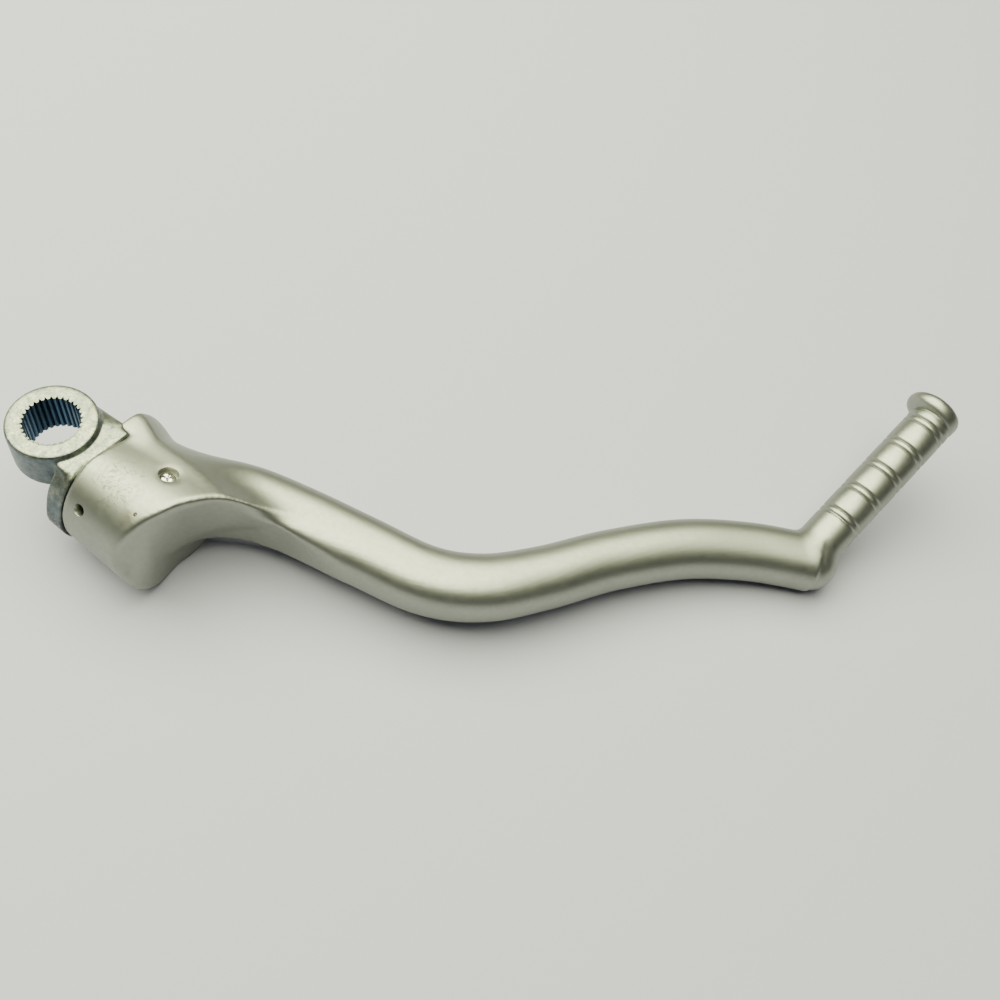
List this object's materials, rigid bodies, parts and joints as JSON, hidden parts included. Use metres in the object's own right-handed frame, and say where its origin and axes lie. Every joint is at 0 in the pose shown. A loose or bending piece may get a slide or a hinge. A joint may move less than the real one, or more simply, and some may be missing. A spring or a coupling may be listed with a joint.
{
  "type": "folding kick start lever",
  "caption": "Folding kick start lever: an S-shaped forged arm with a grooved foot peg turns on a splined steel joint piece, held at each end of its swing by a spring-loaded ball.",
  "frame": {"origin": "centre of the splined bore, halfway through the ring", "axes": "+Z along the kick shaft towards the ring's visible face, +X along the arm towards the elbow"},
  "size_m": [0.2999, 0.1294, 0.042],
  "materials": {
    "cast_alloy": "satin, bead blasted",
    "zinc_steel": "zinc plated",
    "pin_steel": "bright",
    "ball_steel": "polished",
    "spring_steel": "oiled"
  },
  "bodies": {
    "joint_piece": {"splined_joint": "zinc_steel", "click_spring": "spring_steel"},
    "arm": {"lever_arm": "cast_alloy", "retaining_pin": "pin_steel"},
    "ball": {"click_ball": "ball_steel"}
  },
  "joints": [
    {"name": "fold", "type": "hinge", "parent": "joint_piece", "child": "arm", "pos_m": [0.02502, -0.00832, -0.012], "axis": [-0.8829, 0.4695, 0], "range_deg": [0, 100]},
    {"name": "click", "type": "slide", "parent": "joint_piece", "child": "ball", "axis": [-0.3937, -0.7405, 0.5446], "range_m": [0, 0.00045], "deforming": ["click_spring"]}
  ]
}
